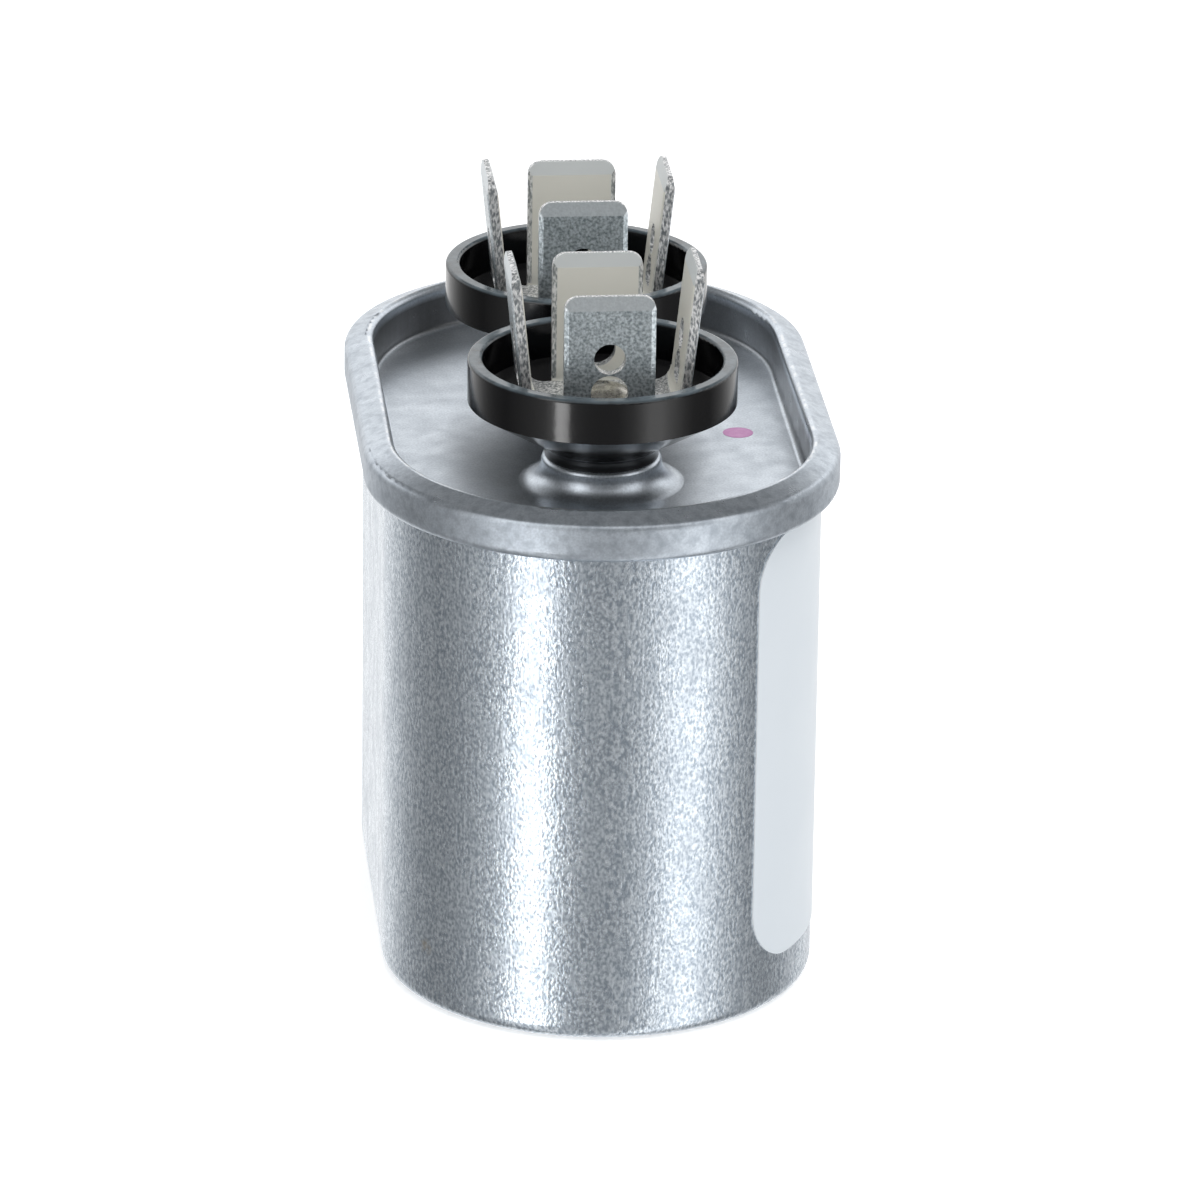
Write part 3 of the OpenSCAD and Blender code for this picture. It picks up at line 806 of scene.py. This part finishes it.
def shiny_ring(tree, way, turn):
    """What shiny surfaces reflect by direction: the colour, as a share of the ring's light."""
    share = add_node(tree, "ShaderNodeMapRange", (turn, -math.pi, math.pi))[0]
    low, high, front, back = (
        add_node(
            tree,
            "ShaderNodeValToRGB",
            (place,),
            stops=[((at - start) / length, value / top) for at, value in stops],
        )[0]
        for place, stops, start, length, top in (
            (share, LOW_ROUND, -180, 360, RING_TOP),
            (share, HIGH_ROUND, -180, 360, RING_TOP),
            (way["Z"], FRONT_RISE, 0, 1, 1),
            (way["Z"], BACK_RISE, 0, 1, 1),
        )
    )
    aside = add_node(tree, "ShaderNodeMath", (turn,), operation="ABSOLUTE")[0]
    away = add_node(
        tree, "ShaderNodeMapRange", (aside, math.radians(85), math.radians(115))
    )[0]
    squared = overlap(tree, way["Z"], way["Z"])
    rest = add_node(tree, "ShaderNodeMath", (1.0, squared), operation="SUBTRACT")[0]
    level = add_node(tree, "ShaderNodeMath", (rest,), operation="SQRT")[0]
    forward, sideways = (
        add_node(
            tree,
            "ShaderNodeMath",
            (
                overlap(
                    tree, level, add_node(tree, "ShaderNodeMath", (at,), operation=wave)[0]
                ),
                way["Z"],
            ),
            operation="DIVIDE",
        )[0]
        for at, wave in ((turn, "COSINE"), (aside, "SINE"))
    )
    overhead = overlap(
        tree,
        between(tree, forward, *OVERHEAD_FORWARD),
        add_node(tree, "ShaderNodeMapRange", (sideways, *OVERHEAD_ASIDE))[0],
        add_node(tree, "ShaderNodeMapRange", (way["Z"], *OVERHEAD_UP))[0],
    )
    high = layered(tree, grey(CEILING), (layered(tree, front, (away, back)), high))
    high = add_node(
        tree,
        "ShaderNodeMix",
        {0: overhead, 6: high, 7: grey(OVERHEAD_LIGHT)},
        data_type="RGBA",
        blend_type="LIGHTEN",
    )[2]
    above_level = add_node(tree, "ShaderNodeMapRange", (way["Z"], -0.12, 0.04))[0]
    return layered(tree, low, (above_level, high))


def ring_light(tree, way, turn):
    """Strength of the ring's light: even, and much stronger in the window."""
    masks = []
    for value, middle, fade in (
        (turn, WINDOW_TURN, WINDOW_BESIDE),
        (way["Z"], WINDOW_Z, WINDOW_ABOVE),
    ):
        off = add_node(tree, "ShaderNodeMath", (value, middle), operation="SUBTRACT")[0]
        off = add_node(tree, "ShaderNodeMath", (off,), operation="ABSOLUTE")[0]
        masks.append(add_node(tree, "ShaderNodeMapRange", (off, *fade))[0])
    window = overlap(tree, *masks, WINDOW_LIGHT)
    return add_node(tree, "ShaderNodeMath", (RING_TOP, window), operation="ADD")[0]


def studio_room(scene, studio):
    """The room's light: even for matt surfaces, and for shiny ones the white backdrop, the dark
    place of the camera and the softboxes. The camera itself sees white."""
    world = bpy.data.worlds.new("studio_room")
    scene.world = world
    world.use_nodes = True
    tree = world.node_tree
    tree.nodes.clear()
    generated = add_node(tree, "ShaderNodeTexCoord")["Generated"]
    way = add_node(tree, "ShaderNodeSeparateXYZ", (generated,))
    forward = overlap(tree, way["Y"], -1.0)
    turn = add_node(tree, "ShaderNodeMath", (way["X"], forward), operation="ARCTAN2")[0]
    turn = add_node(tree, "ShaderNodeMath", (turn, studio.azimuth), operation="SUBTRACT")[0]
    turn = add_node(tree, "ShaderNodeMath", (turn, math.pi, -math.pi), operation="WRAP")[0]
    seen = add_node(tree, "ShaderNodeLightPath")
    white, soft, shiny = (
        add_node(tree, "ShaderNodeBackground", {"Color": shade, "Strength": strength})[0]
        for shade, strength in (
            (tuple(studio.backdrop), 1.0),
            (tuple(studio.backdrop), studio.room),
            (shiny_ring(tree, way, turn), ring_light(tree, way, turn)),
        )
    )
    light = add_node(tree, "ShaderNodeMixShader", (seen["Is Glossy Ray"], soft, shiny))[0]
    clear = add_node(
        tree,
        "ShaderNodeMath",
        (seen["Is Camera Ray"], seen["Is Transmission Ray"]),
        operation="MAXIMUM",
    )[0]
    whole = add_node(tree, "ShaderNodeMixShader", (clear, light, white))[0]
    add_node(tree, "ShaderNodeOutputWorld", {"Surface": whole})


def add_lamp(name, spot, width, power):
    """A square soft lamp, turned to the top of the can, that shows in no reflection."""
    data = bpy.data.lights.new(name, "AREA")
    data.shape = "SQUARE"
    data.size = width
    data.energy = power
    lamp = bpy.data.objects.new(name, data)
    aim = Vector((0, 0, LABEL_HIGH.z)) - Vector(spot)
    lamp.matrix_world = Matrix.Translation(spot) @ aim.to_track_quat("-Z", "Y").to_matrix().to_4x4()
    lamp.visible_glossy = False
    bpy.context.scene.collection.objects.link(lamp)


def add_camera(scene, studio):
    """The camera, turned about its aim."""
    az, el, roll = studio.azimuth, studio.elevation, studio.roll
    back = Vector((math.sin(az) * math.cos(el), -math.cos(az) * math.cos(el), math.sin(el)))
    right = Vector((0, 0, 1)).cross(back).normalized()
    up = back.cross(right)
    x = math.cos(roll) * right + math.sin(roll) * up
    y = -math.sin(roll) * right + math.cos(roll) * up
    data = bpy.data.cameras.new("camera")
    data.sensor_width = 36
    data.lens = studio.lens
    data.clip_start = 0.01
    camera = bpy.data.objects.new("camera", data)
    turn = Matrix((x, y, back)).transposed().to_4x4()
    camera.matrix_world = Matrix.Translation(Vector(studio.aim) + back * studio.distance) @ turn
    scene.collection.objects.link(camera)
    scene.camera = camera


# Add-on --------------------------------------------------------------------------------------

OPERATORS = (
    CAPACITOR_OT_can,
    CAPACITOR_OT_cover,
    CAPACITOR_OT_terminals,
    CAPACITOR_OT_label,
    CAPACITOR_OT_inside,
    CAPACITOR_OT_ink_dot,
    CAPACITOR_OT_stage,
)


class CAPACITOR_PT_panel(bpy.types.Panel):
    """The capacitor's pieces and stage"""

    bl_idname = "CAPACITOR_PT_panel"
    bl_label = "Motor run capacitor"
    bl_space_type = "VIEW_3D"
    bl_region_type = "UI"
    bl_category = "Capacitor"

    def draw(self, context):
        for operator in OPERATORS:
            self.layout.operator(operator.bl_idname)
        for name, group in GROUPS.items():
            for prop in group.__annotations__:
                self.layout.prop(getattr(context.scene, name), prop)


GROUPS = {
    "capacitor_metal": CapacitorMetal,
    "capacitor_trim": CapacitorTrim,
    "capacitor_studio": CapacitorStudio,
}


def register():
    """Registers the settings, the operators and the panel."""
    for made in (*GROUPS.values(), *OPERATORS, CAPACITOR_PT_panel):
        bpy.utils.register_class(made)
    for name, group in GROUPS.items():
        setattr(bpy.types.Scene, name, bpy.props.PointerProperty(type=group))


def unregister():
    """Takes them away again."""
    for name in GROUPS:
        delattr(bpy.types.Scene, name)
    for made in (CAPACITOR_PT_panel, *reversed(OPERATORS), *GROUPS.values()):
        bpy.utils.unregister_class(made)


def main():
    """Builds the whole scene."""
    register()
    bpy.ops.capacitor.can()
    bpy.ops.capacitor.cover()
    bpy.ops.capacitor.terminals()
    bpy.ops.capacitor.label()
    bpy.ops.capacitor.inside()
    bpy.ops.capacitor.ink_dot()
    bpy.ops.capacitor.stage()


if __name__ == "__main__":
    main()
